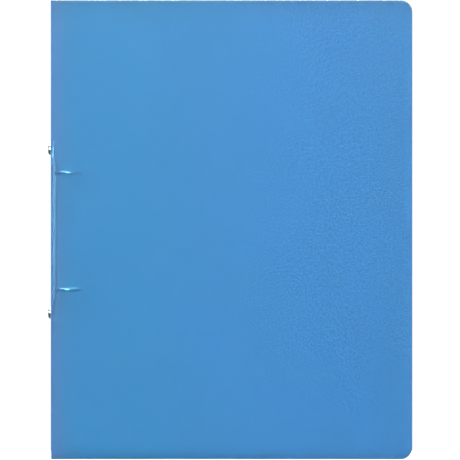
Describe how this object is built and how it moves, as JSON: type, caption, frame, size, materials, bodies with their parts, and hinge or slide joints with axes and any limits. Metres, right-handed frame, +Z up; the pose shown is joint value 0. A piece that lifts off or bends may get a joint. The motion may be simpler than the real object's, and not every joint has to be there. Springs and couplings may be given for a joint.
{
  "type": "ring binder",
  "caption": "Slim document binder: a folded case of translucent blue plastic, with a steel ring mechanism riveted inside its spine.",
  "frame": {"origin": "middle of the footprint at the level of the bottom edges that the binder stands on", "axes": "+Z up the spine, +X from the spine towards the fore edge, -Y out of the front cover"},
  "size_m": [0.2488, 0.027, 0.313],
  "materials": {
    "polypropylene": "translucent, frosted, fine sandy grain",
    "nickel": "bright nickel plate",
    "zinc_plate": "dull zinc plate"
  },
  "bodies": {
    "spine": {"spine_panel": "polypropylene", "front_fold": "polypropylene", "back_fold": "polypropylene", "mechanism_rail": "nickel", "upper_rivet": "nickel", "lower_rivet": "nickel", "upper_rivet_washer": "zinc_plate", "lower_rivet_washer": "zinc_plate"},
    "front_cover": {"front_cover": "polypropylene"},
    "back_cover": {"back_cover": "polypropylene"},
    "front_ring_halves": {"front_hinge_plate": "zinc_plate", "upper_front_half_ring": "nickel", "lower_front_half_ring": "nickel"},
    "back_ring_halves": {"back_hinge_plate": "zinc_plate", "upper_back_half_ring": "nickel", "lower_back_half_ring": "nickel"}
  },
  "joints": [
    {"name": "front_cover_fold", "type": "hinge", "parent": "spine", "child": "front_cover", "pos_m": [-0.12175, -0.0131, 0.1565], "axis": [0, 0, -1], "range_deg": [0, 175]},
    {"name": "back_cover_fold", "type": "hinge", "parent": "spine", "child": "back_cover", "pos_m": [-0.12175, 0.0131, 0.1565], "axis": [0, 0, 1], "range_deg": [0, 175]},
    {"name": "front_rings_open", "type": "hinge", "parent": "spine", "child": "front_ring_halves", "pos_m": [-0.12005, -0.0061, 0.1555], "axis": [0, 0, -1], "range_deg": [0, 11.5]},
    {"name": "back_rings_open", "type": "hinge", "parent": "spine", "child": "back_ring_halves", "pos_m": [-0.12005, 0.0061, 0.1555], "axis": [0, 0, 1], "range_deg": [0, 11.5]}
  ],
  "couplings": [
    {"joint": "back_rings_open", "follows": "front_rings_open", "ratio": 1}
  ]
}
